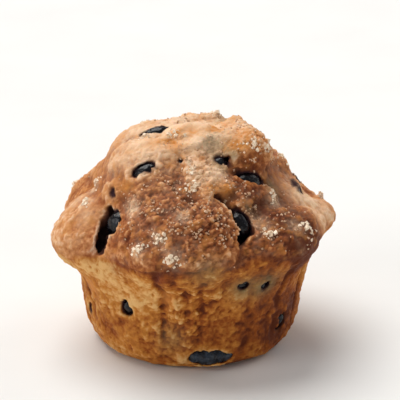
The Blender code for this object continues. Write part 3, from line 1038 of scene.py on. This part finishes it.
def build_berry(node, material):
    berry = seated(node, node.replace("blueberry", "berry"))
    subdivide(berry, BERRY_ROUNDNESS)
    mesh = berry.data
    points = corners_of(mesh)
    offset = float(sum(middle_of(node))) / MM
    dents = DENT_DEPTH * noise_at(points, DENT_SIZE, 3, offset)
    wrinkles = WRINKLE_DEPTH * np.abs(noise_at(points, WRINKLE_SIZE, 1, offset))
    points += normals_of(mesh) * ((dents - wrinkles + BERRY_SWELL) * MM)[:, None]
    move_corners(mesh, points)
    mesh.shade_smooth()
    mesh.materials.clear()
    mesh.materials.append(material)
    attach(berry, "root")
    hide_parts(node)
    return berry


# Sugar

CRYSTAL_SIDES, CRYSTAL_SKEW = (0.7, 1.15), 0.17  # of a crystal's size: its sides, and how far a corner strays


def crystal_points(rng, count):
    """Corners of irregular boxes about 1 across: (count, 8, 3), each turned its own way."""
    signs = np.array([[x, y, z] for x in (-1, 1) for y in (-1, 1) for z in (-1, 1)], float)
    boxes = 0.5 * signs * rng.uniform(*CRYSTAL_SIDES, (count, 1, 3))
    boxes += rng.uniform(-CRYSTAL_SKEW, CRYSTAL_SKEW, (count, 8, 3))
    turns = rng.normal(size=(count, 4))
    turns /= np.linalg.norm(turns, axis=1)[:, None]
    scalar, axis = turns[:, None, :1], turns[:, None, 1:]
    return boxes + 2.0 * np.cross(axis, np.cross(axis, boxes) + scalar * boxes)


BOX_FACES = np.array([(0, 1, 3, 2), (4, 6, 7, 5), (0, 4, 5, 1), (2, 3, 7, 6), (0, 2, 6, 4), (1, 5, 7, 3)])


# Crystals strewn on the crust: how many, and their least and greatest size in mm.
STREWN = ((1500, 0.35, 0.6), (200, 0.6, 0.95))
# A clump's crystals: how many, how far they reach in clump lengths, and how many mm high they are heaped.
CLUMPED = ((12, 0.26, 0.2), (8, 0.5, 0.1))
CLUMPED_SIZES = (0.5, 1.2)  # mm
SUGAR_JITTER, SUGAR_LOWEST = 0.25, -0.2  # mm sideways, and mm down into the crust
SUGAR_SUNK = 0.25  # of a crystal's size
BARE_BELOW = 0.26  # how granular the crust must be before it holds any sugar
SUGAR_PATCHES, SUGAR_PATCH_BLEND, LEAST_SUGAR = Noise(7, 1.0, 2, 30.0), (-0.3, 0.5), 0.1
SUGAR_HOLDS = (-0.25, 0.3)  # how far up a face looks, between which sugar starts to stay on it


def strew(rng, mesh, weights, count):
    """Random places on the mesh's faces: points and the ways straight out."""
    areas = np.empty(len(mesh.polygons), np.float32)
    mesh.polygons.foreach_get("area", areas)
    chances = areas * weights
    chosen = rng.choice(len(areas), count, p=chances / chances.sum())
    jitter = rng.uniform(-SUGAR_JITTER, SUGAR_JITTER, (count, 3)) * MM
    return face_vectors(mesh, "center")[chosen] + jitter, face_vectors(mesh, "normal")[chosen]


def sugar_places(rng, mesh):
    """Each crystal's place, the way straight out there and its size, the strewn ones first."""
    middles = face_vectors(mesh, "center").astype(float)
    whole = 1.0 - face_values(mesh, "torn")
    patches = smooth_step(noise_layer(middles, SUGAR_PATCHES), *SUGAR_PATCH_BLEND)
    sugared = limited(graininess(middles) - BARE_BELOW) * (LEAST_SUGAR + patches)
    holding = smooth_step(face_vectors(mesh, "normal")[:, 2], *SUGAR_HOLDS)
    density = crown_share(middles) * holding * sugared * whole
    places, ways, sizes = [], [], []
    for count, least, greatest in STREWN:
        spots, out = strew(rng, mesh, density, count)
        places.append(spots)
        ways.append(out)
        sizes.append(rng.uniform(least, greatest, count) * MM)
    for name in sugar_nodes():
        low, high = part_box(name)
        away = np.linalg.norm(middles - np.array((low + high) / 2), axis=1) / (high - low).length
        for count, reach, heap in CLUMPED:
            spots, out = strew(rng, mesh, np.exp(-((away / reach) ** 2)) * whole, count)
            places.append(spots + out * rng.uniform(SUGAR_LOWEST, heap, (count, 1)) * MM)
            ways.append(out)
            sizes.append(rng.uniform(*CLUMPED_SIZES, count) * MM)
    return np.concatenate(places), np.concatenate(ways), np.concatenate(sizes)


def build_sugar(crumb, materials):
    """Crystals strewn over the crown in the first material, and gathered in clumps in the second."""
    rng = np.random.default_rng(SEED)
    places, ways, sizes = sugar_places(rng, crumb.data)
    boxes = crystal_points(rng, len(places)) * sizes[:, None, None]
    boxes += (places - ways * sizes[:, None] * SUGAR_SUNK)[:, None, :]
    faces = (np.arange(len(places))[:, None, None] * 8 + BOX_FACES).reshape(-1, 4)
    mesh = bpy.data.meshes.new("sugar_crystals")
    mesh.from_pydata(boxes.reshape(-1, 3).tolist(), [], faces.tolist())
    for material in materials:
        mesh.materials.append(material)
    strewn = sum(count for count, _, _ in STREWN)
    in_clump = np.arange(len(faces)) >= strewn * len(BOX_FACES)
    mesh.polygons.foreach_set("material_index", in_clump.astype(np.int32))
    sugar = link(bpy.data.objects.new("sugar_crystals", mesh))
    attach(sugar, "root")
    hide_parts(*sugar_nodes())
    return sugar


# Studio


# The floor is flat out to this radius, where it curves up into a low wall of this height.
FLOOR_RADIUS, BACKDROP_HEIGHT = 3.0, 0.7
FLOOR_SIDES, FLOOR_MIDDLE = 96, 0.3  # corners in each ring, and the innermost ring's radius

# Soft lights: a name, the way towards it, its strength, its spread in degrees and its colour.
LIGHTS = (
    ("key", (-0.30, 0.35, 0.95), 2.75, 50.0, (1.0, 0.98, 0.95)),
    ("side", (-0.85, -0.50, 0.40), 0.85, 35.0, (1.0, 0.98, 0.96)),
    ("rim", (0.80, 0.45, 0.60), 0.5, 35.0, (1.0, 0.97, 0.95)),
)
ROOM_LIGHT = 0.26


def build_floor():
    """A pale floor, with a low wall far off all round so that no view looks past its edge."""
    lifts = np.radians(np.arange(0.0, 91.0, 10.0))
    radii = [FLOOR_MIDDLE, *(FLOOR_RADIUS + BACKDROP_HEIGHT * np.sin(lifts))]
    heights = [0.0, *(BACKDROP_HEIGHT * (1.0 - np.cos(lifts)))]
    turns = np.radians(np.arange(FLOOR_SIDES) * 360.0 / FLOOR_SIDES)
    points = [(r * math.cos(turn), r * math.sin(turn), z) for r, z in zip(radii, heights) for turn in turns]
    faces = [tuple(range(FLOOR_SIDES))]
    for ring in range(len(radii) - 1):
        for i in range(FLOOR_SIDES):
            j = (i + 1) % FLOOR_SIDES
            inner, outer = ring * FLOOR_SIDES, (ring + 1) * FLOOR_SIDES
            faces.append((inner + i, outer + i, outer + j, inner + j))
    mesh = bpy.data.meshes.new("floor")
    mesh.from_pydata(points, [], faces)
    mesh.shade_smooth()
    floor = link(bpy.data.objects.new("floor", mesh))
    material, tree, shader = new_material("pale floor")
    tone = add_ramp(tree, speckle(tree, 60 * MM), tuple(zip((0.3, 0.7), FLOOR_TONES)))
    tree.links.new(tone, shader.inputs["Base Color"])
    shader.inputs["Roughness"].default_value = 0.9
    mesh.materials.append(material)


def add_soft_light(name, source, strength, spread, colour):
    """Even light from the side where `source` points, as from a panel this many degrees wide."""
    data = bpy.data.lights.new(name, "SUN")
    data.energy = strength
    data.angle = math.radians(spread)
    data.color = colour
    lamp = link(bpy.data.objects.new(name, data))
    lamp.rotation_mode = "QUATERNION"
    lamp.rotation_quaternion = (-Vector(source)).to_track_quat("-Z", "Y")


def build_lights():
    for light in LIGHTS:
        add_soft_light(*light)
    world = bpy.data.worlds.new("studio")
    world.use_nodes = True
    background = world.node_tree.nodes["Background"]
    background.inputs["Color"].default_value = (1.0, 1.0, 1.0, 1.0)
    background.inputs["Strength"].default_value = ROOM_LIGHT
    bpy.context.scene.world = world


def build_camera():
    lift = math.radians(CAMERA_ELEVATION)
    forward = Vector((0.0, math.cos(lift), -math.sin(lift)))
    upward = Vector((0.0, math.sin(lift), math.cos(lift)))
    data = bpy.data.cameras.new("camera")
    data.lens = data.sensor_width * CAMERA_DISTANCE / VIEW_WIDTH
    camera = link(bpy.data.objects.new("camera", data))
    camera.location = HEART + Vector((AIM_RIGHT, 0.0, 0.0)) + AIM_UP * upward - CAMERA_DISTANCE * forward
    camera.rotation_mode = "QUATERNION"
    camera.rotation_quaternion = forward.to_track_quat("-Z", "Y")
    bpy.context.scene.camera = camera


for leftover in list(bpy.data.objects):
    bpy.data.objects.remove(leftover)
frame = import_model()
bpy.context.scene.view_settings.view_transform = "Standard"
# Blender seeds its vector noise from the clock unless a seed is given.
noise.seed_set(SEED)

build_camera()
build_lights()
build_floor()
crumb = build_crumb()
crumb.data.materials.clear()
crumb.data.materials.append(crumb_material())
dark_skin = berry_material("blueberry skin", DARK_SKIN, DARK_BLOOM)
pressed_skin = berry_material("blueberry with bloom", PRESSED_SKIN, PRESSED_BLOOM)
for node in berry_nodes():
    build_berry(node, pressed_skin if node == BASE_BERRY else dark_skin)
strewn_sugar = sugar_material("coarse sugar", *STREWN_SUGAR)
clumped_sugar = sugar_material("clumped sugar", *CLUMPED_SUGAR)
build_sugar(crumb, (strewn_sugar, clumped_sugar))
